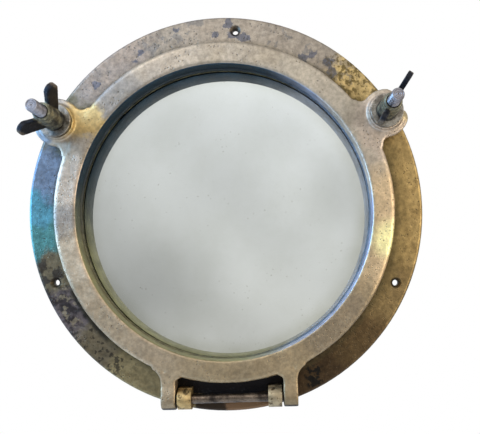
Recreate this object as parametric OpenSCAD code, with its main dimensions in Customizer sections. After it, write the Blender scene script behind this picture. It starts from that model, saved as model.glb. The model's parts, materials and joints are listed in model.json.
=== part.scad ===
// Opening ship's porthole: a flanged frame, a hinged glazing ring with its glass,
// and two swing bolts with wing nuts that clamp the ring down on its gasket.
//
// The back face of the flange stands in the XZ plane, with its centre at the origin.
// The front looks along -Y. Each module draws lying down, with local Z as the height
// in front of the wall, and upright() stands it up.

/* [Glazing ring] */
// Radius of the clear opening
clear_r = 146; // [120:1:180]
// Radial width of the lip that the glass bears on
lip_w = 10; // [7:0.5:16]
// Height of the ring from its underside to its face
ring_t = 17; // [16:0.5:24]
// Depth from the ring's face to the glass bedding
recess_d = 15; // [10:0.5:15.5]
// Wall of the skirt that reaches back around the glass
skirt_t = 3.5; // [2.5:0.5:6]
// Depth of the skirt below the ring's underside
skirt_d = 11.5; // [11.5:0.5:13]
// How far the ring's rim reaches out past the gasket groove
rim_w = 3.5; // [2.5:0.5:8]
// Draft of the ring's outer side, from its base to its face
ring_draft = 1.6; // [0:0.2:3]
// Rounding of the ring's outer front edge
ring_round = 3.5; // [1:0.5:6]
// Radial gap between the glass and the skirt
glass_clear = 0.5; // [0.3:0.1:1]

/* [Glass and its fittings] */
// Thickness of the glass
glass_t = 8; // [5:0.5:9]
// Thickness of the bedding compound in front of the glass
bedding_t = 1; // [0.5:0.25:2]
// Thickness of the cushion ring behind the glass
cushion_t = 1; // [0.5:0.25:2]
// Height of the screwed retaining ring
retainer_t = 3.5; // [2.5:0.5:5]
// Radial width of the retaining ring
retainer_w = 9; // [5:0.5:14]
// Number of spanner notches in the retaining ring
notch_count = 4; // [2:1:8]

/* [Gasket] */
// Radial width of the gasket groove
groove_w = 4.5; // [3:0.5:8]
// Depth of the gasket groove
groove_d = 5; // [3:0.5:7]
// How far the groove stands outside the frame's recess
groove_set = 1; // [0.5:0.5:3]
// Gap between the gasket and each side of its groove
gasket_side_gap = 0.2; // [0.1:0.05:0.4]
// Gap between the gasket and the bead, before the bolts are tightened
gasket_gap = 0.3; // [0.1:0.1:0.6]
// Width of the raised seat bead on the frame
bead_w = 1.5; // [1:0.25:2.5]
// Height of the raised seat bead above the flange
bead_h = 1.9; // [1:0.1:2.5]

/* [Frame] */
// Radial width of the flange outside the glazing ring
flange_w = 30; // [28:1:60]
// Thickness of the flange
flange_t = 8; // [6:0.5:12]
// Rounding of the flange's front edge
flange_round = 3; // [1:0.5:4]
// Wall of the tube that passes through the ship's side
spigot_t = 7.5; // [4:0.5:12]
// Length of that tube behind the seat floor
spigot_l = 20; // [10:1:80]
// Depth of the seat recess below the flange's back face
recess_floor_d = 4; // [4:0.5:8]
// Thickness of the recess floor
floor_t = 5; // [3:0.5:10]
// Wall around the recess, which pilots the frame in the wall's hole
pilot_t = 5; // [3:0.5:10]
// How far the wall tube's bore stands outside the clear opening
spigot_set = 0.5; // [0:0.5:4]

/* [Fixing screws] */
// Distance from the flange's edge to the screw holes
screw_edge = 14; // [8:1:18]
// Diameter of the screw holes
screw_d = 6; // [4:0.5:10]
// Diameter of the countersinks
countersink_d = 11; // [8:0.5:16]
// Angles of the screw holes, anticlockwise from the right
screw_angles = [85.4, 200.3, 336.3];

/* [Hinge] */
// Distance from the glazing ring's base to the hinge pin
hinge_drop = 14; // [13:0.5:24]
// Height of the hinge pin above the flange's face
hinge_lift = 10.5; // [10.5:0.5:16]
// Diameter of the hinge pin
hinge_pin_d = 9; // [6:0.5:12]
// Outer radius of the knuckles and ears
knuckle_r = 10; // [8:0.5:10]
// How far a knuckle's foot reaches from the pin towards the ring
knuckle_foot_up = 11; // [8:0.5:11]
// How far a knuckle's foot reaches from the pin away from the ring
knuckle_foot_down = 8.5; // [7:0.5:8.5]
// Inner side of each frame knuckle, from the middle
knuckle_x = 38; // [20:1:60]
// Width of each frame knuckle
knuckle_w = 13.5; // [8:0.5:24]
// Width of each ring ear
ear_w = 14.5; // [8:0.5:24]
// Side gap between a knuckle and its ear
hinge_gap = 1.5; // [0.5:0.25:2]
// Radius of the fillets where the ears' outer sides meet the ring
ear_fillet = 16; // [4:1:20]
// Radius of the fillets where the ears' inner sides meet the ring
inner_fillet = 3; // [1:0.5:4]

/* [Swing bolts] */
// Angle of the left bolt, anticlockwise from the right
left_angle = 150; // [120:1:165]
// Angle of the right bolt, anticlockwise from the right
right_angle = 30; // [15:1:60]
// Distance from the flange's edge to the bolts' pivots
dog_edge = 14; // [12:1:16]
// Diameter of the swing bolts
bolt_d = 12; // [8:0.5:14]
// Length of a swing bolt from its pivot to its end
bolt_l = 73; // [60:0.5:110]
// Radius of the eye at the foot of a bolt
eye_r = 7.5; // [7:0.5:8]
// How much wider the eye is than the bolt
eye_extra = 0.6; // [0.4:0.1:1]
// Gap between a bolt's eye and the pivot ear on each side of it
eye_gap = 0.3; // [0.2:0.05:1]
// Gap between a bolt's eye and the inner end of its slot in the flange
eye_back_gap = 1.5; // [1:0.5:3]
// Diameter of the pivot pins
pivot_d = 7; // [4:0.5:8]
// Height of the pivots above the flange's face
pivot_lift = 0.5; // [0.5:0.25:2]
// Outer radius of the frame's pivot ears
pivot_ear_r = 8; // [7:0.5:8]
// Thickness of each pivot ear
pivot_ear_t = 8; // [5:0.5:12]

/* [Lugs] */
// Radius of the lug's end about the bolt
lug_r = 23.5; // [20:0.5:26]
// Width of the arm that joins a lug to the ring
lug_w = 43; // [36:0.5:46]
// Radius of the fillets where the lugs meet the ring
lug_fillet = 7; // [3:0.5:12]
// Height of the lug's seat boss above the ring's face
seat_lift = 4; // [1:0.5:6]
// Radius of the seat boss
seat_r = 17.5; // [14:0.5:20]
// Gap between the lug's underside and the pivot ears
lug_clear = 1; // [0.5:0.25:2]

/* [Washers and wing nuts] */
// Outer diameter of the washers
washer_d = 32; // [26:0.5:34]
// Thickness of the washers
washer_t = 3; // [2:0.5:5]
// Radial gap between a washer and its bolt
washer_gap = 0.3; // [0.2:0.1:1]
// Gap between a washer and its nut
nut_gap = 0.2; // [0.1:0.1:0.5]
// Height of a nut's hub
hub_h = 28; // [20:0.5:32]
// Radius at the foot of the hub
hub_foot_r = 10.5; // [9:0.5:14]
// Radius at the top of the hub
hub_top_r = 8.6; // [8:0.2:11]
// Height of the hub's foot below its taper
hub_foot_h = 2.8; // [1:0.2:4]
// Height of the taper above the foot
hub_taper_h = 3.9; // [1:0.1:5]
// Height of the collar at the top of the hub
hub_collar_h = 7.3; // [4:0.1:8]
// Height of the taper under the collar
hub_neck_h = 3.4; // [1:0.1:4]
// Thickness of a wing
wing_t = 5; // [3:0.5:8]
// Distance from the bolt's axis to the middle of a wing's tip
wing_reach = 21; // [16:0.5:24]
// Height of the middle of a wing's tip above the nut's foot
wing_rise = 34.5; // [24:0.5:38]
// Radius of a wing's rounded tip
wing_tip_r = 6.6; // [4:0.2:8]
// Radius of a wing's root
wing_root_r = 5.9; // [4:0.1:7]
// Height of the middle of a wing's root above the nut's foot
wing_root_h = 11.2; // [8:0.2:14]
// How far the middle of a wing's root lies inside the top of the hub
wing_root_set = 2; // [1:0.5:4]
// Angle at which the left nut's wings stand, anticlockwise from level
left_wing_angle = 53; // [0:1:180]
// Angle at which the right nut's wings stand, anticlockwise from level
right_wing_angle = 57; // [0:1:180]

/* [Clearances] */
// Radial clearance of pins and threads in their bores
pin_clear = 0.05; // [0.02:0.01:0.1]
// Clearance between fitted parts that stay put
fit_clear = 0.1; // [0.05:0.05:0.3]
// Clearance between faces that meet when the ring is shut
face_clear = 0.4; // [0.3:0.1:0.6]
// Gap between the ring's underside and the flange
ring_gap = 1; // [0.8:0.1:2]
// How far the lugs and ears lie below the ring's face
arm_drop = 0.2; // [0.2:0.1:1]
// Gap between a washer and its seat, with the nut slack
washer_slack = 1.4; // [0.4:0.1:2]
// Gap between the skirt and the frame's recess
skirt_gap = 1.5; // [1.2:0.1:3]
// Side clearance of a bolt in its slots
slot_clear = 1; // [0.6:0.1:2]

/* [Hidden] */
$fn = 180;

// Overlap that keeps unions and cuts clean
over = 1;
// Chamfer that takes the edge off machined and cast ends
edge_break = 0.5;
// Chamfer on the ends of pins and bolts, and on the edges that a hand meets
chamfer = 1;

// Radii, worked outwards from the clear opening
pocket_r = clear_r + lip_w;
glass_r = pocket_r - glass_clear;
skirt_r = pocket_r + skirt_t;
recess_r = skirt_r + skirt_gap;
groove_in_r = recess_r + groove_set;
groove_out_r = groove_in_r + groove_w;
bead_r = groove_in_r + groove_w / 2;
ring_r = groove_out_r + rim_w;
face_r = ring_r - ring_draft - ring_round;
flange_r = ring_r + flange_w;
spigot_in_r = clear_r + spigot_set;
spigot_out_r = spigot_in_r + spigot_t;
pilot_r = recess_r + pilot_t;
screw_r = flange_r - screw_edge;
dog_r = flange_r - dog_edge;
hinge_r = ring_r + hinge_drop;

// Heights in front of the flange's back face
under_h = flange_t + ring_gap;
face_h = under_h + ring_t;
bead_top_h = flange_t + bead_h;
lip_h = face_h - recess_d;
glass_front_h = lip_h - bedding_t;
glass_back_h = glass_front_h - glass_t;
retainer_h = glass_back_h - cushion_t - retainer_t;
skirt_h = under_h - skirt_d;
floor_h = -recess_floor_d;
floor_back_h = floor_h - floor_t;
spigot_h = floor_back_h - spigot_l;
hinge_h = flange_t + hinge_lift;
pivot_h = flange_t + pivot_lift;
lug_h = pivot_h + pivot_ear_r + lug_clear;
arm_h = face_h - arm_drop;
seat_h = face_h + seat_lift;
washer_h = seat_h + washer_slack;
nut_h = washer_h + washer_t + nut_gap;

// The lug's outer end is crowned about the pivot, so that a washer swings past it
crown_r = washer_h - pivot_h - face_clear;
bolt_slot_w = bolt_d + 2 * slot_clear;
eye_w = bolt_d + eye_extra;
eye_slot_w = eye_w + 2 * eye_gap;
pivot_pin_l = eye_slot_w + 2 * pivot_ear_t;
ear_x = knuckle_x + knuckle_w + hinge_gap;
hinge_pin_l = 2 * (ear_x + ear_w);

// Length of a cut that starts inside a lug and must come out of its far side
lug_through = 3 * lug_r;

brass = "#a3926a";
dark_brass = "#6d6345";
steel = "#8f9296";
wing_black = "#2a2723";
rubber = "#26241f";

// Points along an arc, for outlines
function arc(centre, r, from, to, steps = 6) =
    [for (i = [0:steps]) let (a = from + (to - from) * i / steps) centre + r * [cos(a), sin(a)]];

// Points where the outer tangents of two circles touch them
function tangent_points(p, rp, q, rq) =
    let (d = q - p, lean = atan2(d[1], d[0]), open = acos((rp - rq) / norm(d)))
    [p + rp * [cos(lean + open), sin(lean + open)],
     q + rq * [cos(lean + open), sin(lean + open)],
     q + rq * [cos(lean - open), sin(lean - open)],
     p + rp * [cos(lean - open), sin(lean - open)]];

module upright() rotate([90, 0, 0]) children();

// Moves children to the foot of a swing bolt, with local X pointing outwards
module at_dog(angle) rotate([0, 0, angle]) translate([dog_r, 0, 0]) children();

// A cylinder across a dog's slot, about its pivot
module across_dog(r, length) translate([0, 0, pivot_h]) rotate([90, 0, 0])
    cylinder(r = r, h = length, center = true);

// A cylinder along the hinge line, from one x to another
module along_hinge(r, from, to) translate([from, -hinge_r, hinge_h]) rotate([0, 90, 0])
    cylinder(r = r, h = to - from);

// A pin along local Z, centred, with chamfered ends
module chamfered_pin(d, length) rotate_extrude() polygon([
    [0, -length / 2], [d / 2 - chamfer, -length / 2], [d / 2, -length / 2 + chamfer],
    [d / 2, length / 2 - chamfer], [d / 2 - chamfer, length / 2], [0, length / 2]]);

// ---- Frame ----

module frame_section() polygon(concat(
    [[spigot_in_r, spigot_h], [spigot_out_r - chamfer, spigot_h],
     [spigot_out_r, spigot_h + chamfer], [spigot_out_r, floor_back_h],
     [pilot_r, floor_back_h], [pilot_r, 0],
     [flange_r - edge_break, 0], [flange_r, edge_break]],
    arc([flange_r - flange_round, flange_t - flange_round], flange_round, 0, 90),
    [[bead_r + bead_w / 2, flange_t], [bead_r + bead_w / 2, bead_top_h],
     [bead_r - bead_w / 2, bead_top_h], [bead_r - bead_w / 2, flange_t],
     [recess_r, flange_t], [recess_r, floor_h], [spigot_in_r, floor_h]]));

module frame_knuckle(side) {
    from = side > 0 ? knuckle_x : -knuckle_x - knuckle_w;
    along_hinge(knuckle_r, from, from + knuckle_w);
    translate([from, -hinge_r - knuckle_foot_down, flange_t / 2])
        cube([knuckle_w, knuckle_foot_down + knuckle_foot_up, hinge_h - flange_t / 2]);
}

module dog_slot() translate([-eye_r - eye_back_gap, -eye_slot_w / 2, -over])
    cube([lug_through, eye_slot_w, seat_h]);

module screw_hole() {
    translate([0, 0, -over])
        cylinder(d = screw_d, h = flange_t + 2 * over);
    sink = (countersink_d - screw_d) / 2;
    translate([0, 0, flange_t - sink])
        cylinder(d1 = screw_d, d2 = countersink_d, h = sink);
    translate([0, 0, flange_t])
        cylinder(d = countersink_d, h = over);
}

module frame() color(brass) upright() difference() {
    union() {
        rotate_extrude() frame_section();
        for (side = [-1, 1]) frame_knuckle(side);
        for (angle = [left_angle, right_angle])
            at_dog(angle) across_dog(pivot_ear_r, pivot_pin_l);
    }
    for (angle = [left_angle, right_angle]) at_dog(angle) {
        dog_slot();
        across_dog(pivot_d / 2 + pin_clear, pivot_pin_l + 2 * over);
    }
    for (angle = screw_angles)
        rotate([0, 0, angle]) translate([screw_r, 0, 0]) screw_hole();
    along_hinge(hinge_pin_d / 2 + pin_clear, -ear_x, ear_x);
}

// ---- Glazing ring ----

module ring_section() polygon(concat(
    [[clear_r, lip_h], [clear_r, face_h - chamfer], [clear_r + chamfer, face_h]],
    arc([face_r, face_h - ring_round], ring_round, 90, 0),
    [[ring_r, under_h + chamfer], [ring_r - chamfer, under_h], [groove_out_r, under_h],
     [groove_out_r, under_h + groove_d], [groove_in_r, under_h + groove_d],
     [groove_in_r, under_h], [skirt_r, under_h], [skirt_r, skirt_h + edge_break],
     [skirt_r - edge_break, skirt_h], [pocket_r, skirt_h], [pocket_r, lip_h]]));

// Plan of a fillet between the ring and an arm that leaves it along local X. The arm's
// side is at y = side, and a negative radius puts the fillet below that side.
module root_fillet(side, r) {
    centre_r = ring_r + abs(r);
    centre_x = sqrt(pow(centre_r, 2) - pow(side + r, 2));
    inner = [centre_x, side + r] * face_r / centre_r;
    under = side - sign(r) * over;
    difference() {
        polygon([[centre_x, under], [centre_x, side + r], inner,
            [sqrt(pow(face_r, 2) - pow(under, 2)), under]]);
        translate([centre_x, side + r])
            circle(r = abs(r));
    }
}

// Side view of a lug: flat on top as far as the bolt, then crowned about the pivot
module lug_side(top_h) {
    rise = top_h - pivot_h;
    low = asin((lug_h - pivot_h) / crown_r);
    high = asin(min(1, rise / crown_r));
    polygon(concat([[-dog_r + pocket_r, lug_h]],
        arc([0, pivot_h], crown_r, low, high, 12),
        [[-dog_r + pocket_r, top_h]]));
}

module lug_plan() {
    translate([-dog_r + pocket_r, -lug_w / 2])
        square([dog_r - pocket_r, lug_w]);
    circle(r = lug_r);
    for (turn = [-1, 1])
        translate([-dog_r, 0]) root_fillet(turn * lug_w / 2, turn * lug_fillet);
}

module lug() {
    intersection() {
        linear_extrude(seat_h + over) lug_plan();
        rotate([90, 0, 0]) linear_extrude(lug_through, center = true) lug_side(arm_h);
    }
    intersection() {
        translate([0, 0, face_h - over])
            cylinder(r = seat_r, h = seat_lift + over);
        rotate([90, 0, 0]) linear_extrude(lug_through, center = true) lug_side(seat_h);
    }
}

module lug_slot() translate([0, 0, lug_h - over]) {
    cylinder(d = bolt_slot_w, h = seat_h);
    translate([0, -bolt_slot_w / 2, 0])
        cube([lug_through, bolt_slot_w, seat_h]);
}

// Side view of a hinge ear: round about the pin, then nearly level with the ring's face
module ear_side() {
    circle(r = knuckle_r);
    polygon([[0, knuckle_r], [hinge_drop + over, arm_h - hinge_h],
        [hinge_r - pocket_r, arm_h - hinge_h],
        [hinge_r - pocket_r, under_h - hinge_h], [0, under_h - hinge_h]]);
}

module ring_ear(side) mirror([side > 0 ? 0 : 1, 0, 0]) {
    translate([ear_x, -hinge_r, hinge_h])
        rotate([90, 0, 90]) linear_extrude(ear_w) ear_side();
    translate([0, 0, under_h]) rotate([0, 0, -90]) linear_extrude(arm_h - under_h) {
        root_fillet(ear_x + ear_w, ear_fillet);
        root_fillet(ear_x, -inner_fillet);
    }
}

module glazing_ring() color(brass) upright() difference() {
    union() {
        rotate_extrude() ring_section();
        difference() {
            union() {
                for (angle = [left_angle, right_angle]) at_dog(angle) lug();
                for (side = [-1, 1]) ring_ear(side);
            }
            cylinder(r = groove_out_r + over, h = under_h + groove_d + over);
        }
    }
    for (angle = [left_angle, right_angle]) at_dog(angle) lug_slot();
    along_hinge(hinge_pin_d / 2 + pin_clear, -hinge_pin_l, hinge_pin_l);
}

// ---- Glass, bedding, cushion, retaining ring and gasket ----

module glass_pane() color("#b9c4bd", 0.4) upright()
    translate([0, 0, glass_back_h])
        cylinder(r = glass_r, h = glass_t);

module flat_ring(in_r, out_r, from_h, height) translate([0, 0, from_h]) difference() {
    cylinder(r = out_r, h = height);
    translate([0, 0, -over])
        cylinder(r = in_r, h = height + 2 * over);
}

module glass_bedding() color(rubber) upright()
    flat_ring(clear_r + over, glass_r, glass_front_h, bedding_t);

module glass_cushion() color(rubber) upright()
    flat_ring(clear_r + over, glass_r, glass_back_h - cushion_t, cushion_t);

module glass_retaining_ring() color(dark_brass) upright() difference() {
    flat_ring(pocket_r - retainer_w, pocket_r - fit_clear, retainer_h, retainer_t);
    for (i = [0:notch_count - 1]) rotate([0, 0, (i + 0.5) * 360 / notch_count])
        translate([pocket_r - retainer_w - over, -retainer_t, retainer_h - over])
            cube([retainer_w / 2 + over, 2 * retainer_t, retainer_t / 2 + over]);
}

module sealing_gasket() color(rubber) upright()
    flat_ring(groove_in_r + gasket_side_gap, groove_out_r - gasket_side_gap,
        bead_top_h + gasket_gap, under_h + groove_d - bead_top_h - gasket_gap);

// ---- Pins ----

module hinge_pin() color(dark_brass) upright()
    translate([0, -hinge_r, hinge_h]) rotate([0, 90, 0])
        chamfered_pin(hinge_pin_d, hinge_pin_l);

module pivot_pin(angle) color(dark_brass) upright() at_dog(angle)
    translate([0, 0, pivot_h]) rotate([90, 0, 0])
        chamfered_pin(pivot_d, pivot_pin_l);

// ---- Swing bolt, washer and wing nut ----

module swing_bolt(angle) color(steel) upright() at_dog(angle) difference() {
    union() {
        across_dog(eye_r, eye_w);
        translate([0, 0, pivot_h])
            cylinder(d = bolt_d, h = bolt_l - chamfer);
        translate([0, 0, pivot_h + bolt_l - chamfer])
            cylinder(d1 = bolt_d, d2 = bolt_d - 2 * chamfer, h = chamfer);
    }
    across_dog(pivot_d / 2 + pin_clear, eye_w + 2 * over);
}

module washer(angle) color(steel) upright() at_dog(angle)
    flat_ring(bolt_d / 2 + washer_gap, washer_d / 2, washer_h, washer_t);

module hub_section() {
    bore = bolt_d / 2 + pin_clear;
    waist_r = (hub_foot_r + hub_top_r) / 2;
    collar_h = hub_h - hub_collar_h;
    polygon([[bore, 0], [hub_foot_r - edge_break, 0], [hub_foot_r, edge_break],
        [hub_foot_r, hub_foot_h], [waist_r, hub_foot_h + hub_taper_h],
        [waist_r, collar_h - hub_neck_h], [hub_top_r, collar_h],
        [hub_top_r, hub_h - chamfer], [hub_top_r - chamfer, hub_h], [bore, hub_h]]);
}

// Outline of one wing, a paddle that leans out and up from the hub
module wing_outline() {
    root = [hub_top_r - wing_root_set, wing_root_h];
    tip = [wing_reach, wing_rise];
    polygon(tangent_points(root, wing_root_r, tip, wing_tip_r));
    translate(tip)
        circle(r = wing_tip_r);
    translate(root)
        circle(r = wing_root_r);
}

module wing_nut(angle, wing_angle) color(wing_black) upright() at_dog(angle)
    translate([0, 0, nut_h]) difference() {
        union() {
            rotate_extrude() hub_section();
            for (turn = [0, 180]) rotate([90, 0, wing_angle - angle + turn])
                linear_extrude(wing_t, center = true) wing_outline();
        }
        translate([0, 0, -over])
            cylinder(d = bolt_d + 2 * pin_clear, h = wing_rise + wing_tip_r + 2 * over);
    }

module swing_bolt_left() swing_bolt(left_angle);
module swing_bolt_right() swing_bolt(right_angle);
module pivot_pin_left() pivot_pin(left_angle);
module pivot_pin_right() pivot_pin(right_angle);
module washer_left() washer(left_angle);
module washer_right() washer(right_angle);
module wing_nut_left() wing_nut(left_angle, left_wing_angle);
module wing_nut_right() wing_nut(right_angle, right_wing_angle);

frame();
glazing_ring();
glass_pane();
glass_bedding();
glass_cushion();
glass_retaining_ring();
sealing_gasket();
hinge_pin();
swing_bolt_left();
swing_bolt_right();
pivot_pin_left();
pivot_pin_right();
washer_left();
washer_right();
wing_nut_left();
wing_nut_right();
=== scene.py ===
"""Looks of an opening ship's porthole in aged cast brass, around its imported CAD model."""
import json
import math

import bmesh
import bpy
from mathutils import Matrix, Vector


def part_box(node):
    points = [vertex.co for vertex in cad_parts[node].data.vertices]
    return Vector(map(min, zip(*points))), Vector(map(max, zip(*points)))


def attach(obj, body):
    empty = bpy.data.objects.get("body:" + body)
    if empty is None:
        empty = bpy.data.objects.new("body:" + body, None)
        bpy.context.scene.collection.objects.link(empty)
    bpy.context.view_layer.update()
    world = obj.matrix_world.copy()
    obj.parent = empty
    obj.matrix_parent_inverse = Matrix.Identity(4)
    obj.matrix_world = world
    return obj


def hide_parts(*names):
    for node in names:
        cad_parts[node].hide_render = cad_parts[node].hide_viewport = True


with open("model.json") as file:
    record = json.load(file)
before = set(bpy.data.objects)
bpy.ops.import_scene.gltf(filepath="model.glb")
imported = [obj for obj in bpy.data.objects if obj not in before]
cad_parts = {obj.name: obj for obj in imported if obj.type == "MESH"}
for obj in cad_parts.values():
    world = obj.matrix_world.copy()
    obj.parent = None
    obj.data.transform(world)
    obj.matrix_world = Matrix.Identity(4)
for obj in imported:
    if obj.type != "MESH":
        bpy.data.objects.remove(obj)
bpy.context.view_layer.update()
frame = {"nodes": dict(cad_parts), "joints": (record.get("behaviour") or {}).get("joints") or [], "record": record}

MM = 0.001
SIDES = ("left", "right")

# ---- Measures, mostly from the frame ----

JOINTS = {joint["name"]: joint for joint in frame["joints"]}
PIVOTS = {side: Vector(JOINTS["dog_swing_" + side]["pos_m"]) for side in SIDES}
HINGE_R = -JOINTS["ring_hinge"]["pos_m"][2]

COVERED_W = 9.5 * MM            # width of the bedding and glass that the ring's lip covers
FLANGE_W = 30 * MM
FLANGE_FACE_Y = -8 * MM
CLEAR_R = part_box("glass_bedding")[1].x - COVERED_W      # the clear opening
RING_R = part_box("frame")[1].x - FLANGE_W                # outer edge of the glazing ring
GLASS_FRONT_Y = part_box("glass_pane")[0].y

BOLT_R = 6.0 * MM
ROOT_R = 5.35 * MM
PITCH = 1.75 * MM
THREAD_FROM = 24 * MM           # from the pivot to the start of a bolt's thread
BOLT_CHAMFER = 1.0 * MM
EYE_R = 7.5 * MM
EYE_BORE_R = 3.55 * MM
EYE_W = 2 * (BOLT_R + 0.3 * MM)
ROUND_STEPS = 48                # sides of a bolt's round sections

# Rings turned into the end of a bolt: radius, and height above the end
END_RINGS = ((5.0, 0.0), (4.3, 0.0), (4.1, -0.25), (3.7, -0.25), (3.5, 0.0), (2.4, 0.0), (2.2, -0.2),
             (1.9, -0.2), (1.7, 0.0), (0.9, 0.0), (0.6, -0.5), (0.15, -0.7))

# Section of the putty around the glass: distance out from the clear opening, and out from the glass
PUTTY_SECTION = ((-1.3, -0.2), (-0.5, 0.45), (0.3, 1.7), (1.6, 2.0), (3.0, 1.2), (3.0, -0.2))
PUTTY_STEPS = 180

WELD = 0.002 * MM
BEVEL_FROM = math.radians(34)   # sharper edges than this are rounded
SHARP_FROM = math.radians(40)   # sharper edges than this stay sharp in new pieces


# ---- Camera, light and floor ----

CAMERA_AT = (0.0492, -0.546, -0.0571)
CAMERA_ROLL = math.radians(1.7)
SENSOR = 36.0
LENS = 39.79
SHIFT = (-0.075, 0.108)
NEAR_CLIP = 0.01

FLOOR_Z = -0.62
FLOOR_R = 1.1
FLOOR_COLOUR = (0.8, 0.8, 0.79, 1)
FLOOR_ROUGHNESS = 0.8

# The room that the brass mirrors: its colour at three heights, from 0 straight down to 1 straight up,
# and the scale and the strengths of its dark and bright patches
ROOM_LOW = 0.25, (0.24, 0.22, 0.19, 1)
ROOM_MIDDLE = 0.5, (0.60, 0.60, 0.60, 1)
ROOM_HIGH = 0.80, (0.86, 0.88, 0.92, 1)
ROOM_PATCH_SCALE = 1.7
ROOM_PATCH_STRENGTH = (0.45, 1.35)

# Place, aim, size, power and colour of each light
LIGHTS = {
    "key": ((-0.7, -1.5, 1.3), (0, 0, 0), (1.2, 0.9), 10, (1.0, 0.98, 0.95)),
    "window": ((-1.25, -0.16, 0.15), (0, 0, 0), (1.3, 0.6), 19, (0.30, 0.58, 1.0)),
    "pane": ((-0.95, -0.62, 0.5), (0.1, 0, 0.05), (0.4, 0.4), 8, (0.22, 0.52, 1.0)),
    "warm_fill": ((1.15, -0.95, 0.0), (0.1, 0, 0), (0.6, 0.9), 8.2, (1.0, 0.92, 0.80)),
}


def make_camera():
    data = bpy.data.cameras.new("camera")
    data.sensor_width = SENSOR
    data.lens = LENS
    data.shift_x, data.shift_y = SHIFT
    data.clip_start = NEAR_CLIP
    camera = bpy.data.objects.new("camera", data)
    camera.location = CAMERA_AT
    camera.rotation_euler = (math.pi / 2, CAMERA_ROLL, 0)
    bpy.context.scene.collection.objects.link(camera)
    bpy.context.scene.camera = camera


def area_light(name, at, aim, size, power, colour):
    """A rectangular soft light at a point, turned towards another."""
    data = bpy.data.lights.new(name, "AREA")
    data.shape = "RECTANGLE"
    data.size, data.size_y = size
    data.energy = power
    data.color = colour
    light = bpy.data.objects.new(name, data)
    light.location = at
    light.rotation_euler = (Vector(aim) - Vector(at)).to_track_quat("-Z", "Y").to_euler()
    bpy.context.scene.collection.objects.link(light)


def make_world():
    """A white background for the camera, and a mottled room, darker below, for everything else."""
    world = bpy.data.worlds.new("studio")
    bpy.context.scene.world = world
    world.use_nodes = True
    tree = world.node_tree
    tree.nodes.clear()
    place = tree.nodes.new("ShaderNodeTexCoord").outputs["Generated"]
    split = tree.nodes.new("ShaderNodeSeparateXYZ")
    tree.links.new(place, split.inputs[0])
    height = tree.nodes.new("ShaderNodeMath")
    height.operation = "MULTIPLY_ADD"
    height.inputs[1].default_value = 0.5
    height.inputs[2].default_value = 0.5
    tree.links.new(split.outputs["Z"], height.inputs[0])
    shade = tree.nodes.new("ShaderNodeValToRGB")
    elements = shade.color_ramp.elements
    elements[0].position, elements[0].color = ROOM_LOW
    elements[1].position, elements[1].color = ROOM_HIGH
    elements.new(ROOM_MIDDLE[0]).color = ROOM_MIDDLE[1]
    tree.links.new(height.outputs[0], shade.inputs[0])
    room = tree.nodes.new("ShaderNodeTexNoise")
    room.inputs["Scale"].default_value = ROOM_PATCH_SCALE
    tree.links.new(place, room.inputs["Vector"])
    patches = tree.nodes.new("ShaderNodeMapRange")
    patches.inputs["From Min"].default_value = 0.35
    patches.inputs["From Max"].default_value = 0.65
    patches.inputs["To Min"].default_value = ROOM_PATCH_STRENGTH[0]
    patches.inputs["To Max"].default_value = ROOM_PATCH_STRENGTH[1]
    tree.links.new(room.outputs[0], patches.inputs["Value"])
    sky = tree.nodes.new("ShaderNodeBackground")
    tree.links.new(shade.outputs[0], sky.inputs["Color"])
    tree.links.new(patches.outputs[0], sky.inputs["Strength"])
    white = tree.nodes.new("ShaderNodeBackground")
    white.inputs["Color"].default_value = (1, 1, 1, 1)
    choose = tree.nodes.new("ShaderNodeMixShader")
    seen = tree.nodes.new("ShaderNodeLightPath").outputs["Is Camera Ray"]
    tree.links.new(seen, choose.inputs[0])
    tree.links.new(sky.outputs[0], choose.inputs[1])
    tree.links.new(white.outputs[0], choose.inputs[2])
    out = tree.nodes.new("ShaderNodeOutputWorld")
    tree.links.new(choose.outputs[0], out.inputs[0])


def make_floor():
    bpy.ops.mesh.primitive_circle_add(vertices=96, radius=FLOOR_R, fill_type="NGON",
                                      location=(0, 0, FLOOR_Z))
    floor = bpy.context.object
    floor.name = "floor"
    paint = bpy.data.materials.new("floor")
    paint.use_nodes = True
    shader = paint.node_tree.nodes["Principled BSDF"]
    shader.inputs["Base Color"].default_value = FLOOR_COLOUR
    shader.inputs["Roughness"].default_value = FLOOR_ROUGHNESS
    floor.data.materials.append(paint)


def make_stage():
    make_camera()
    make_world()
    for name, light in LIGHTS.items():
        area_light(name, *light)
    make_floor()
    bpy.context.scene.view_settings.view_transform = "Standard"


# ---- Material building blocks ----

GRIME_AND_SHADE_SAMPLES = 8


def tone(red, green, blue):
    """A display colour from 0 to 255, as the linear colour that shaders use."""
    def linear(value):
        value = value / 255
        return value / 12.92 if value <= 0.04045 else ((value + 0.055) / 1.055) ** 2.4
    return (linear(red), linear(green), linear(blue), 1)


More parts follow.
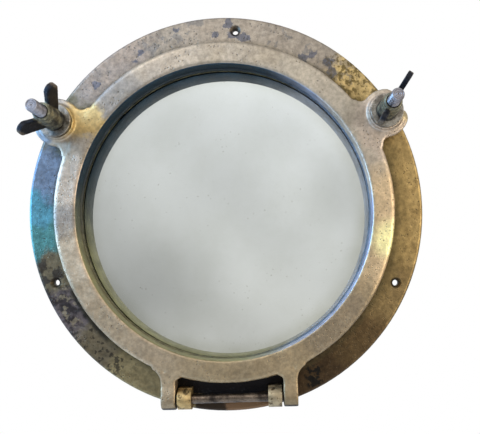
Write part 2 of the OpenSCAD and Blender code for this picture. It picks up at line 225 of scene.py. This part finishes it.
class Finish:
    """One procedural material, with short names for the nodes that it is built from."""

    def __init__(self, name, **sockets):
        self.material = bpy.data.materials.new(name)
        self.material.use_nodes = True
        self.tree = self.material.node_tree
        self.shader = self.tree.nodes["Principled BSDF"]
        self.place = self.tree.nodes.new("ShaderNodeTexCoord").outputs["Object"]
        for socket, value in sockets.items():
            self.shader.inputs[socket.replace("_", " ")].default_value = value

    def plug(self, value, socket):
        if hasattr(value, "is_output"):
            self.tree.links.new(value, socket)
        else:
            socket.default_value = value

    def set(self, socket, value):
        self.plug(value, self.shader.inputs[socket])

    def math(self, operation, a, b=0.0, c=0.0):
        node = self.tree.nodes.new("ShaderNodeMath")
        node.operation = operation
        for socket, value in zip(node.inputs, (a, b, c)):
            self.plug(value, socket)
        return node.outputs[0]

    def vector(self, operation, a, b=(0, 0, 0), output=0):
        node = self.tree.nodes.new("ShaderNodeVectorMath")
        node.operation = operation
        self.plug(a, node.inputs[0])
        self.plug(b, node.inputs[1])
        return node.outputs[output]

    def texture(self, kind, scale, shift, **settings):
        node = self.tree.nodes.new(kind)
        node.inputs["Scale"].default_value = scale
        for socket, value in settings.items():
            node.inputs[socket].default_value = value
        moved = self.vector("ADD", self.place, (shift, shift * 0.7, shift * 1.3))
        self.tree.links.new(moved, node.inputs["Vector"])
        return node

    def noise(self, scale, detail=4.0, rough=0.55, shift=0.0):
        """Smooth noise about 0.5, with features of about 1 / scale metres."""
        node = self.texture("ShaderNodeTexNoise", scale, shift, Detail=detail, Roughness=rough)
        return node.outputs[0]

    def dots(self, scale, shift=0.0):
        """Distance from scattered points, about 1 / scale metres apart, in units of that."""
        return self.texture("ShaderNodeTexVoronoi", scale, shift).outputs["Distance"]

    def rise(self, value, low, high):
        """0 where value is under low, 1 over high, and smooth between. low may be the larger."""
        node = self.tree.nodes.new("ShaderNodeMapRange")
        node.interpolation_type = "SMOOTHSTEP"
        node.inputs["From Min"].default_value = min(low, high)
        node.inputs["From Max"].default_value = max(low, high)
        node.inputs["To Min"].default_value = 0.0 if low < high else 1.0
        node.inputs["To Max"].default_value = 1.0 if low < high else 0.0
        self.plug(value, node.inputs["Value"])
        return node.outputs[0]

    def blotches(self, scale, level, soft=0.04, detail=3.0, shift=0.0):
        """Mask of separate blotches: level 0.5 covers half of the surface, and 0.62 very little."""
        return self.rise(self.noise(scale, detail, shift=shift), level - soft, level + soft)

    def pits(self, scale, size=0.22, level=0.5, shift=0.0):
        """Mask of small uneven pits of many sizes, in loose groups."""
        ragged = self.math("SUBTRACT", self.noise(scale * 3, 3, 0.6, shift + 0.9), 0.5)
        away = self.math("MULTIPLY_ADD", ragged, 0.5, self.dots(scale, shift))
        smaller = self.math("MULTIPLY_ADD", self.noise(scale * 0.7, 1, 0.5, shift + 0.5), 1.6, -0.8)
        near = self.rise(self.math("ADD", away, self.math("MAXIMUM", smaller, 0.0)), size, size * 0.3)
        return self.both(near, self.blotches(scale / 9, level, 0.06, 2, shift + 0.3))

    def mix(self, amount, a, b):
        node = self.tree.nodes.new("ShaderNodeMix")
        node.data_type = "RGBA"
        self.plug(amount, node.inputs[0])
        self.plug(a, node.inputs[6])
        self.plug(b, node.inputs[7])
        return node.outputs[2]

    def vary(self, colour, value, low, high):
        """Multiplies a colour by low where value is small, and by high where it is large."""
        node = self.tree.nodes.new("ShaderNodeVectorMath")
        node.operation = "SCALE"
        self.plug(colour, node.inputs[0])
        factor = self.math("MULTIPLY_ADD", self.rise(value, 0.3, 0.7), high - low, low)
        self.plug(factor, node.inputs["Scale"])
        return node.outputs[0]

    def both(self, a, b):
        return self.math("MULTIPLY", a, b)

    def across(self):
        """The place on the window's plane, with the depth left out."""
        return self.vector("MULTIPLY", self.place, (1, 0, 1))

    def radius(self):
        return self.vector("LENGTH", self.across(), output=1)

    def within(self, radius, soft):
        """Mask of what lies inside of a radius, with a soft edge outside it."""
        return self.rise(self.radius(), radius + soft, radius)

    def axis(self, letter):
        node = self.tree.nodes.new("ShaderNodeSeparateXYZ")
        self.tree.links.new(self.place, node.inputs[0])
        return node.outputs[letter]

    def depth(self):
        return self.axis("Y")

    def height(self):
        return self.axis("Z")

    def zone(self, angle, half, soft, wander=12.0, scale=20.0, shift=0.0):
        """Mask of a sector of the window within half degrees of angle, whose edge wanders by some
        degrees."""
        way = (math.cos(math.radians(angle)), 0, math.sin(math.radians(angle)))
        unit = self.vector("NORMALIZE", self.across())
        away = self.math("ARCCOSINE", self.vector("DOT_PRODUCT", unit, way, output=1))
        drift = self.math("SUBTRACT", self.noise(scale, 5, 0.65, shift), 0.5)
        away = self.math("MULTIPLY_ADD", drift, math.radians(2 * wander), away)
        return self.rise(away, math.radians(half + soft), math.radians(half))

    def patch(self, angle, radius, size, soft, wander, scale=45.0, shift=0.0):
        """Mask of a round patch on the window's plane, with an uneven edge."""
        way = math.radians(angle)
        centre = (radius * math.cos(way), 0, radius * math.sin(way))
        away = self.vector("DISTANCE", self.across(), centre, output=1)
        drift = self.math("MULTIPLY_ADD", self.noise(scale, 5, 0.65, shift), 2 * wander, -wander)
        return self.rise(self.math("ADD", away, drift), size + soft, size)

    def from_bolt(self):
        """Distance from the axis of the nearer swing bolt."""
        folded = self.vector("ABSOLUTE", self.across())
        centre = (PIVOTS["right"].x, 0, PIVOTS["right"].z)
        return self.vector("DISTANCE", folded, centre, output=1)

    def grime_and_shade(self, distance):
        """Mask of the crevices within that distance, by ambient occlusion: the darkening there is partly grime and
        partly painted shade.
        """
        node = self.tree.nodes.new("ShaderNodeAmbientOcclusion")
        node.inputs["Distance"].default_value = distance
        node.samples = GRIME_AND_SHADE_SAMPLES
        return self.rise(node.outputs["AO"], 0.8, 0.3)

    def bump(self, height, distance, strength=1.0, under=None):
        node = self.tree.nodes.new("ShaderNodeBump")
        node.inputs["Strength"].default_value = strength
        node.inputs["Distance"].default_value = distance
        self.plug(height, node.inputs["Height"])
        if under is not None:
            self.tree.links.new(under, node.inputs["Normal"])
        return node.outputs[0]

    def cast_surface(self, pits, grain=1.0):
        """Sets the bump of a sand casting: slow waves, fine grain, and the pits of that mask."""
        waves = self.bump(self.noise(45, 3), 1.2 * MM, 0.5)
        fine = self.bump(self.noise(420, 5, 0.7), 0.25 * MM, 0.7 * grain, waves)
        self.set("Normal", self.bump(self.math("SUBTRACT", 1.0, pits), 0.3 * MM, 0.8, fine))


# ---- Materials ----

# Patina of the flange as sectors, partly painted reflection: angle anticlockwise from the right, half width, soft
# edge, colour
FLANGE_PATINA_AND_REFLECTION = (
    (65, 26, 16, tone(162, 149, 132)),
    (2, 30, 16, tone(170, 143, 92)),
    (43, 6, 6, tone(198, 170, 114)),
    (132, 14, 10, tone(148, 135, 122)),
    # Dark bottom: partly patina, partly a painted reflection of the dark room below
    (285, 24, 14, tone(73, 56, 36)),
    (318, 6, 8, tone(98, 78, 50)),
    (333, 5, 8, tone(140, 117, 77)),
    (238, 18, 6, tone(140, 124, 88)),
    (224, 5, 5, tone(112, 98, 74)),
    (206, 12, 5, tone(112, 98, 92)),
    (195, 5, 3, tone(122, 108, 82)),
    # Teal and bluish on the left: partly patina, partly a painted reflection of the blue window light
    (182, 9, 4, tone(84, 130, 122)),
    (174, 4, 3, tone(88, 136, 142)),
    (161, 8, 5, tone(112, 120, 130)),
    (148, 7, 6, tone(106, 98, 76)),
)

# Slate spots on the upper half: angle, distance from the middle and radius of each
SLATE_SPOTS = (
    (133.4, 186 * MM, 3.6 * MM), (118.6, 179 * MM, 2.6 * MM), (116, 186 * MM, 2.2 * MM),
    (103.5, 192 * MM, 2.4 * MM), (104, 166 * MM, 3.2 * MM), (87.5, 193.5 * MM, 4.4 * MM),
    (86.5, 183 * MM, 4.2 * MM), (82.5, 181 * MM, 5.6 * MM), (91.5, 182 * MM, 2.8 * MM),
    (62, 177 * MM, 4.6 * MM), (59.5, 184 * MM, 3.4 * MM), (54.5, 186 * MM, 5.2 * MM),
    (51.5, 180 * MM, 4.2 * MM), (148, 191 * MM, 3 * MM),
)

# Patina of the glazing ring as sectors, one of them a painted highlight (352 degrees): angle, half width, soft
# edge, shift of its noise, colour
RING_PATINA_AND_HIGHLIGHT = (
    (272, 56, 40, 1.3, tone(166, 144, 110)),
    (205, 38, 18, 0.7, tone(180, 158, 128)),
    (180, 5, 5, 2.9, tone(156, 142, 126)),
    (167, 6, 5, 2.3, tone(212, 190, 166)),
    (194, 6, 6, 2.6, tone(208, 184, 152)),
    (136, 8, 8, 6.3, tone(150, 143, 134)),
    (316, 8, 10, 3.6, tone(150, 132, 106)),
    # Golden glow on the right: a painted highlight
    (352, 14, 14, 3.1, tone(204, 177, 138)),
)

# Patches on the glazing ring: angle, distance from the middle, radius, soft edge, wander of that edge,
# shift of its noise, colour
RING_PATCHES = (
    # Shine: partly polish, partly a painted highlight of the warm light
    (349, RING_R - 5 * MM, 7 * MM, 18 * MM, 4 * MM, 3.3, tone(255, 242, 176)),      # shine
    (145, 165 * MM, 15 * MM, 12 * MM, 20 * MM, 4.3, tone(200, 172, 116)),           # gold
    (158, 197 * MM, 7 * MM, 9 * MM, 20 * MM, 6.9, tone(134, 138, 142)),             # bluish, left lug
    (27, 178 * MM, 22 * MM, 14 * MM, 20 * MM, 5.3, tone(190, 172, 152)),            # mauve
    (27, 207 * MM, 7 * MM, 7 * MM, 4 * MM, 1.9, tone(206, 186, 142)),               # right lug
)


def frame_brass():
    """The frame's brass. Patina by sector on the flange, partly painted reflection, other tones on the back and in
    the tube, with painted shade in the hinge hollow and the countersinks.
    """
    skin = Finish("frame_brass", Metallic=0.82)
    clouds = skin.rise(skin.noise(11, 5), 0.35, 0.65)
    colour = skin.mix(clouds, tone(158, 145, 129), tone(146, 136, 122))
    for place, (angle, half, soft, patina_and_light) in enumerate(FLANGE_PATINA_AND_REFLECTION):
        colour = skin.mix(skin.zone(angle, half, soft, shift=place * 1.1), colour, patina_and_light)
    for place, (angle, radius, size) in enumerate(SLATE_SPOTS):
        spot = skin.patch(angle, radius, size, 1.2 * MM, 9 * MM, 130.0, place * 0.37)
        colour = skin.mix(skin.both(spot, 0.75), colour, tone(84, 88, 101))
    slate = skin.both(skin.zone(75, 40, 14, shift=7.7), skin.blotches(60, 0.6, 0.02, 5))
    colour = skin.mix(skin.both(slate, 0.5), colour, tone(104, 104, 104))
    olive = skin.both(skin.zone(41, 11, 7, shift=8.8), skin.blotches(240, 0.53, 0.05, 5, 0.4))
    colour = skin.mix(skin.both(olive, 0.85), colour, tone(100, 84, 46))
    brown = skin.both(skin.zone(10, 26, 12, shift=8.1), skin.blotches(90, 0.57, 0.08, 5, 2.4))
    colour = skin.mix(skin.both(brown, 0.4), colour, tone(110, 88, 50))
    band = skin.both(skin.zone(5, 30, 10, shift=3.7), skin.within(RING_R + 10 * MM, 8 * MM))
    colour = skin.mix(skin.both(band, 0.6), colour, tone(132, 112, 70))
    black = skin.both(skin.zone(206, 9, 5, shift=9.9), skin.blotches(75, 0.5, 0.05, 5, 0.8))
    colour = skin.mix(skin.both(black, 0.8), colour, tone(46, 40, 38))
    cream = skin.both(skin.zone(211, 7, 6, shift=4.9), skin.blotches(130, 0.58, 0.04, 5, 3.1))
    colour = skin.mix(skin.both(cream, 0.6), colour, tone(164, 146, 116))
    soot = skin.both(skin.patch(297, 187 * MM, 9 * MM, 5 * MM, 8 * MM, 90.0, 1.4),
                     skin.blotches(170, 0.5, 0.05, 4, 2.2))
    colour = skin.mix(skin.both(soot, 0.9), colour, tone(22, 22, 20))
    rim = skin.within(RING_R + 4 * MM, 6 * MM)
    colour = skin.mix(skin.both(rim, skin.zone(213, 9, 5, shift=2.9)), colour, tone(34, 32, 32))
    specks = skin.both(skin.zone(226, 9, 6, shift=5.9), skin.blotches(200, 0.57, 0.03, 4, 1.9))
    colour = skin.mix(skin.both(specks, 0.8), colour, tone(52, 46, 38))
    foot = skin.both(skin.within(RING_R + 3 * MM, 6 * MM), skin.noise(60, 3))
    colour = skin.mix(foot, colour, tone(78, 70, 46))
    colour = skin.vary(colour, skin.noise(230, 5, 0.7, 0.6), 0.74, 1.26)
    colour = skin.vary(colour, skin.noise(36, 4, 0.6, 0.9), 0.88, 1.11)
    pits = skin.pits(330, 0.34, 0.49, 1.7)
    colour = skin.mix(skin.both(pits, 0.7), colour, tone(70, 60, 42))
    back = skin.mix(skin.rise(skin.noise(18, 5), 0.35, 0.65), tone(128, 112, 80), tone(88, 80, 62))
    front = skin.rise(skin.depth(), -2 * MM, -4 * MM)
    colour = skin.mix(front, skin.vary(back, skin.noise(150, 4, 0.6), 0.8, 1.2), colour)
    # Painted shade in the hinge hollow, on the front only
    colour = skin.mix(skin.both(front, hinge_hollow_shade(skin)), colour, tone(30, 28, 30))
    below_pin = skin.both(front, skin.rise(skin.radius(), HINGE_R + 3 * MM, HINGE_R + 5 * MM))
    colour = skin.mix(skin.both(below_pin, skin.zone(265, 5, 1.5, 5, 110)), colour, tone(54, 43, 32))
    colour = skin.mix(skin.both(below_pin, skin.zone(277, 7, 1.5, 5, 110)), colour, tone(122, 94, 68))
    colour = skin.mix(knuckle_mask(skin), colour, knuckle_tone(skin))
    tube = skin.within(CLEAR_R + 1.5 * MM, 1 * MM)
    # Bore tones, darker at the upper left; pale bluish on the right, partly a painted reflection of the blue
    # window light
    tube_tone_and_reflection = skin.mix(skin.zone(112, 50, 36), tone(156, 150, 106), tone(54, 78, 96))
    tube_tone_and_reflection = skin.mix(skin.zone(0, 50, 30), tube_tone_and_reflection, tone(196, 200, 214))
    colour = skin.mix(tube, colour, skin.vary(tube_tone_and_reflection, skin.noise(60, 4), 0.75, 1.2))
    for angle, radius in screw_holes():
        # Painted shade in each screw hole's countersink
        countersink_shade = skin.patch(angle, radius, 4.6 * MM, 1.8 * MM, 1 * MM, 200.0)
        colour = skin.mix(skin.both(countersink_shade, 0.65), colour, tone(44, 35, 24))
    # Darker in the crevices: partly grime, partly painted shade
    colour = skin.mix(skin.both(skin.grime_and_shade(10 * MM), 0.85), colour, tone(24, 20, 15))
    skin.set("Base Color", colour)
    skin.set("Roughness", skin.math("MULTIPLY_ADD", skin.noise(75, 4), 0.35, 0.26))
    skin.cast_surface(pits)
    return skin.material


def screw_holes():
    """Angle and distance from the middle of each screw hole in the flange."""
    mounts = frame["record"]["mounts"]
    places = [mount["pos_m"] for mount in mounts if mount["name"].startswith("screw_")]
    return [(math.degrees(math.atan2(z, x)), math.hypot(x, z)) for x, y, z in places]


def hinge_hollow_shade(skin):
    """Mask of painted shade in the hollow between the ring and the hinge pin."""
    return skin.both(skin.zone(270, 17.5, 1, 0.5), skin.within(HINGE_R - 1 * MM, 2 * MM))


def knuckle_mask(skin):
    """Mask of the frame's hinge knuckles, which stand in front of the flange."""
    proud = skin.rise(skin.depth(), FLANGE_FACE_Y - 1 * MM, FLANGE_FACE_Y - 2 * MM)
    return skin.both(proud, skin.zone(270, 20, 4))


def knuckle_tone(skin):
    """Worn gold, greyer on the right-hand knuckle, with dark stains."""
    gold = skin.mix(skin.zone(281, 6, 4), tone(188, 157, 104), tone(170, 152, 120))
    gold = skin.vary(gold, skin.noise(160, 4, 0.6, 0.7), 0.75, 1.2)
    stain = skin.blotches(190, 0.57, 0.03, 4, 1.3)
    return skin.mix(skin.both(stain, 0.8), gold, tone(74, 58, 34))


def ring_brass():
    """The glazing ring's paler brass, darker on its hinge arms, with painted shade along the bottoms of its hinge
    ears, a painted highlight on the right, and its own tones inside, partly painted reflection.
    """
    skin = Finish("ring_brass", Metallic=0.8)
    clouds = skin.rise(skin.noise(12, 5), 0.35, 0.65)
    colour = skin.mix(clouds, tone(188, 174, 152), tone(174, 160, 142))
    for angle, half, soft, shift, patina_and_light in RING_PATINA_AND_HIGHLIGHT:
        colour = skin.mix(skin.zone(angle, half, soft, shift=shift), colour, patina_and_light)
    for angle, radius, size, soft, wander, shift, patina_and_light in RING_PATCHES:
        colour = skin.mix(skin.patch(angle, radius, size, soft, wander, shift=shift), colour, patina_and_light)
    stain = skin.both(skin.blotches(34, 0.56, 0.08, 5, 0.6), 0.28)
    colour = skin.mix(stain, colour, tone(138, 122, 96))
    colour = skin.vary(colour, skin.noise(260, 5, 0.7, 0.2), 0.8, 1.2)
    colour = skin.vary(colour, skin.noise(30, 4, 0.6, 0.9), 0.93, 1.07)
    pits = skin.pits(300, 0.34, 0.51, 1.1)
    colour = skin.mix(skin.both(pits, 0.7), colour, tone(84, 66, 38))
    arms = skin.rise(skin.height(), -HINGE_R + 14 * MM, -HINGE_R - 6 * MM)
    colour = skin.mix(skin.both(arms, 0.5), colour, tone(104, 88, 62))
    # Painted shade along the bottoms of the hinge ears
    ear_bottom_shade = skin.rise(skin.height(), -HINGE_R - 5.5 * MM, -HINGE_R - 8 * MM)
    colour = skin.mix(skin.both(ear_bottom_shade, 0.92), colour, tone(22, 17, 12))
    inside = skin.within(CLEAR_R + 0.3 * MM, 0.6 * MM)
    # Bore tones, darker at the upper left; pale bluish on the right, partly a painted reflection of the blue
    # window light; the bright spot at 25 degrees is a painted highlight
    inside_tone_and_reflection = skin.mix(skin.zone(112, 52, 34), tone(150, 142, 98), tone(44, 66, 80))
    inside_tone_and_reflection = skin.mix(skin.zone(355, 50, 30), inside_tone_and_reflection, tone(184, 190, 210))
    inside_tone_and_reflection = skin.mix(skin.zone(25, 16, 12), inside_tone_and_reflection, tone(240, 226, 208))
    colour = skin.mix(inside, colour, skin.vary(inside_tone_and_reflection, skin.noise(60, 4), 0.8, 1.15))
    # Darker in the crevices: partly grime, partly painted shade
    colour = skin.mix(skin.both(skin.grime_and_shade(6 * MM), 0.7), colour, tone(40, 34, 24))
    skin.set("Base Color", colour)
    skin.set("Roughness", skin.math("MULTIPLY_ADD", skin.noise(60, 4), 0.35, 0.27))
    skin.cast_surface(pits, 0.9)
    return skin.material


def worn_bronze(name, light, dark, rough=0.35, grain=0.25, mottle=150):
    """Handled bronze for pins, bolts and washers, mottled between two tones."""
    skin = Finish(name, Metallic=0.9)
    colour = skin.mix(skin.rise(skin.noise(mottle, 4), 0.38, 0.64), light, dark)
    colour = skin.vary(colour, skin.noise(700, 3, 0.6, 0.5), 1 - grain, 1 + grain)
    # Darker in the crevices: partly grime, partly painted shade
    colour = skin.mix(skin.both(skin.grime_and_shade(3 * MM), 0.8), colour, tone(24, 21, 18))
    skin.set("Base Color", colour)
    skin.set("Roughness", skin.math("MULTIPLY_ADD", skin.noise(260, 3), 0.25, rough - 0.12))
    skin.set("Normal", skin.bump(skin.noise(800, 4, 0.6), 0.12 * MM, 2.4 * grain))
    return skin.material


def wing_brass():
    """Bare bronze on the hub, and blackened wings that are worn pale at their tips."""
    skin = Finish("wing_brass", Metallic=0.45)
    worn = skin.blotches(130, 0.64, 0.05, 4, 0.3)
    black = skin.mix(worn, tone(16, 19, 27), tone(50, 44, 38))
    hub = skin.mix(skin.rise(skin.noise(170, 4), 0.4, 0.6), tone(142, 136, 110), tone(98, 94, 76))
    away = skin.math("MULTIPLY_ADD", skin.noise(140, 3), 5 * MM, skin.from_bolt())
    colour = skin.mix(skin.rise(away, 11 * MM, 13.5 * MM), hub, black)
    tips = skin.both(skin.rise(away, 26 * MM, 30 * MM), 0.6)
    colour = skin.mix(tips, colour, tone(136, 118, 96))
    colour = skin.vary(colour, skin.noise(520, 4, 0.6), 0.7, 1.3)
    # Darker in the crevices: partly grime, partly painted shade
    colour = skin.mix(skin.both(skin.grime_and_shade(4 * MM), 0.8), colour, tone(16, 15, 14))
    skin.set("Base Color", colour)
    skin.set("Roughness", skin.math("MULTIPLY_ADD", skin.noise(200, 3), 0.3, 0.32))
    skin.set("Normal", skin.bump(skin.noise(380, 4, 0.6), 0.25 * MM, 0.6))
    return skin.material


def pane_glass():
    """Old glass, hazy and faintly wavy, dirtier towards its edge."""
    skin = Finish("glass", IOR=1.5, Transmission_Weight=1.0)
    haze = skin.rise(skin.noise(16, 6, 0.65), 0.35, 0.7)
    edge = skin.rise(skin.radius(), CLEAR_R - 22 * MM, CLEAR_R - 1 * MM)
    colour = skin.mix(haze, tone(246, 250, 246), tone(238, 242, 236))
    colour = skin.mix(skin.both(edge, skin.noise(40, 4)), colour, tone(198, 200, 182))
    specks = skin.pits(150, 0.12, 0.5, 0.9)
    colour = skin.mix(skin.both(specks, 0.6), colour, tone(160, 156, 140))
    skin.set("Base Color", colour)
    skin.set("Roughness", skin.math("MULTIPLY_ADD", haze, 0.03, 0.01))
    skin.set("Normal", skin.bump(skin.noise(6, 2), 0.8 * MM, 0.12))
    return skin.material


def gasket_rubber():
    skin = Finish("gasket_rubber", Metallic=0.0)
    dust = skin.rise(skin.noise(90, 5), 0.45, 0.7)
    skin.set("Base Color", skin.mix(skin.both(dust, 0.4), tone(30, 30, 30), tone(92, 84, 70)))
    skin.set("Roughness", skin.math("MULTIPLY_ADD", dust, 0.15, 0.75))
    skin.set("Normal", skin.bump(skin.noise(700, 4), 0.1 * MM, 0.5))
    return skin.material


def putty():
    """Old glazing putty in the tones of the brass beside it: darker at the upper left, and pale bluish on the
    right, partly a painted reflection of the blue window light.
    """
    skin = Finish("bedding", Metallic=0.0)
    colour = skin.mix(skin.zone(112, 52, 34), tone(98, 92, 62), tone(30, 40, 44))
    # Pale bluish on the right: partly a painted reflection of the blue window light
    colour = skin.mix(skin.zone(355, 50, 30), colour, tone(96, 104, 112))
    skin.set("Base Color", skin.vary(colour, skin.noise(220, 5, 0.65), 0.6, 1.3))
    skin.set("Roughness", skin.math("MULTIPLY_ADD", skin.noise(300, 4), 0.3, 0.5))
    skin.set("Normal", skin.bump(skin.noise(500, 4, 0.6), 0.2 * MM, 0.8))
    return skin.material


def make_materials():
    return {
        "frame_brass": frame_brass(),
        "ring_brass": ring_brass(),
        "inner_brass": worn_bronze("inner_brass", tone(128, 120, 88), tone(84, 78, 58), 0.5),
        "pin_bronze": worn_bronze("pin_bronze", tone(118, 102, 86), tone(42, 35, 30), 0.4, 0.35, 60),
        "bolt_bronze": worn_bronze("bolt_bronze", tone(160, 156, 158), tone(126, 120, 120), 0.36,
                                   0.12),
        "washer_bronze": worn_bronze("washer_bronze", tone(178, 170, 156), tone(122, 114, 102), 0.36),
        "wing_brass": wing_brass(),
        "glass": pane_glass(),
        "bedding": putty(),
        "gasket_rubber": gasket_rubber(),
    }


# ---- Finishing the CAD nodes ----

def rounded(node, width, segments):
    """Rounds a CAD node's sharp edges."""
    piece = frame["nodes"][node]
    weld = piece.modifiers.new("weld", "WELD")
    weld.merge_threshold = WELD
    bevel = piece.modifiers.new("bevel", "BEVEL")
    bevel.width = width
    bevel.segments = segments
    bevel.limit_method = "ANGLE"
    bevel.angle_limit = BEVEL_FROM
    bevel.harden_normals = True


def cast(node, voxel, passes, lumps, lump_size):
    """Rebuilds a CAD node finely and smooths it, so that its forms flow together as a casting's do,
    and gives it shallow lumps."""
    piece = frame["nodes"][node]
    remesh = piece.modifiers.new("remesh", "REMESH")
    remesh.mode = "VOXEL"
    remesh.voxel_size = voxel
    remesh.use_smooth_shade = True
    smooth = piece.modifiers.new("smooth", "SMOOTH")
    smooth.factor = 0.5
    smooth.iterations = passes
    waves = bpy.data.textures.new(node + "_lumps", "CLOUDS")
    waves.noise_scale = lump_size
    displace = piece.modifiers.new("lumps", "DISPLACE")
    displace.texture = waves
    displace.texture_coords = "LOCAL"
    displace.strength = lumps


def finish_nodes(materials):
    """Gives each CAD node the material of its slot, and softens those whose edges show."""
    slots = {part["node"]: part["material_slot"] for part in frame["record"]["subparts"]}
    for name, piece in frame["nodes"].items():
        piece.data.materials.clear()
        piece.data.materials.append(materials[slots[name]])
    rounded("frame", 0.8 * MM, segments=3)
    cast("glazing_ring", voxel=1.25 * MM, passes=5, lumps=0.5 * MM, lump_size=14 * MM)
    cast("hinge_pin", voxel=0.7 * MM, passes=3, lumps=0.5 * MM, lump_size=5 * MM)
    for side in SIDES:
        cast("wing_nut_" + side, voxel=0.5 * MM, passes=14, lumps=0.3 * MM, lump_size=5 * MM)
        rounded("washer_" + side, 0.5 * MM, segments=3)
    rounded("glass_retaining_ring", 0.4 * MM, segments=2)


# ---- Putty and swing bolts ----

def grid_faces(mesh, rows):
    """Joins rows of vertices, each a ring around the same axis, with quads."""
    count = len(rows[0])
    for lower, upper in zip(rows, rows[1:]):
        for i in range(count):
            j = (i + 1) % count
            mesh.faces.new((lower[i], lower[j], upper[j], upper[i]))


def thread_depth(height, turn):
    """How far a right-hand thread's surface lies below its crest, from 0 at the crest to 1."""
    return abs(2 * ((height / PITCH - turn) % 1) - 1)


def add_shank(mesh, length):
    """Adds a bolt's shank along local Z, with its thread and turned end."""
    thread_to = length - BOLT_CHAMFER
    profile = [(ROOT_R, EYE_BORE_R + 0.3 * MM), (BOLT_R, EYE_R), (BOLT_R, THREAD_FROM)]
    count = int((thread_to - THREAD_FROM) / (PITCH / 6))
    pitch_rows = [THREAD_FROM + (thread_to - THREAD_FROM) * i / count for i in range(1, count + 1)]
    profile += [(BOLT_R, height) for height in pitch_rows]
    profile += [(radius * MM, length + height * MM) for radius, height in END_RINGS]
    rows = []
    for radius, height in profile:
        fade = min(1, max(0, (height - THREAD_FROM) / PITCH)) if height <= thread_to else 0
        row = []
        for i in range(ROUND_STEPS):
            r = radius - (BOLT_R - ROOT_R) * thread_depth(height, i / ROUND_STEPS) * fade
            turn = math.tau * i / ROUND_STEPS
            row.append(mesh.verts.new((r * math.cos(turn), r * math.sin(turn), height)))
        rows.append(row)
    grid_faces(mesh, rows)
    mesh.faces.new(list(reversed(rows[0])))
    mesh.faces.new(rows[-1])


def add_eye(mesh):
    """Adds the eye at the foot of a bolt, a thick ring about local Y."""
    turns = [math.tau * i / ROUND_STEPS for i in range(ROUND_STEPS)]
    side = EYE_W / 2
    rows = []
    for radius, y in ((EYE_BORE_R, -side), (EYE_BORE_R, side), (EYE_R, side), (EYE_R, -side)):
        rows.append([mesh.verts.new((radius * math.cos(turn), y, radius * math.sin(turn)))
                     for turn in turns])
    grid_faces(mesh, rows + rows[:1])


def putty_wave(turn):
    """How far the putty's inner edge strays at that angle, in millimetres."""
    return 0.16 * math.sin(7 * turn) + 0.12 * math.sin(23 * turn + 1) + 0.08 * math.sin(61 * turn)


def putty_bead(material):
    """A thin fillet of old putty around the front edge of the glass, with an uneven inner edge."""
    mesh = bmesh.new()
    rows = []
    for out, proud in PUTTY_SECTION:
        row = []
        for i in range(PUTTY_STEPS):
            turn = math.tau * i / PUTTY_STEPS
            radius = CLEAR_R + (out + (putty_wave(turn) if out < 1 else 0)) * MM
            row.append(mesh.verts.new((radius * math.cos(turn), GLASS_FRONT_Y - proud * MM,
                                       radius * math.sin(turn))))
        rows.append(row)
    grid_faces(mesh, rows + rows[:1])
    bmesh.ops.recalc_face_normals(mesh, faces=mesh.faces)
    finish_piece("putty_bead_front", mesh, material, "opening_ring")


def finish_piece(name, mesh, material, body):
    """Makes an object of a mesh, smooth but for its sharp edges, that rides on a body."""
    data = bpy.data.meshes.new(name)
    mesh.to_mesh(data)
    mesh.free()
    data.materials.append(material)
    data.shade_smooth()
    piece = bpy.data.objects.new(name, data)
    bpy.context.scene.collection.objects.link(piece)
    edges = piece.modifiers.new("edges", "EDGE_SPLIT")
    edges.split_angle = SHARP_FROM
    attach(piece, body)
    return piece


def swing_bolt(side, material):
    """A swing bolt with its helical thread and turned end, in place of the plain CAD bolt."""
    node = "swing_bolt_" + side
    pivot = PIVOTS[side]
    mesh = bmesh.new()
    add_shank(mesh, pivot.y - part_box(node)[0].y)
    add_eye(mesh)
    outwards = math.atan2(pivot.z, pivot.x)
    turned = Matrix.Rotation(-outwards, 4, "Y") @ Matrix.Rotation(math.pi / 2, 4, "X")
    mesh.transform(Matrix.Translation(pivot) @ turned)
    bolt = finish_piece(node + "_threaded", mesh, material, "dog_" + side)
    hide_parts(node)


make_stage()
MATERIALS = make_materials()
finish_nodes(MATERIALS)
putty_bead(MATERIALS["bedding"])
for side in SIDES:
    swing_bolt(side, MATERIALS["bolt_bronze"])
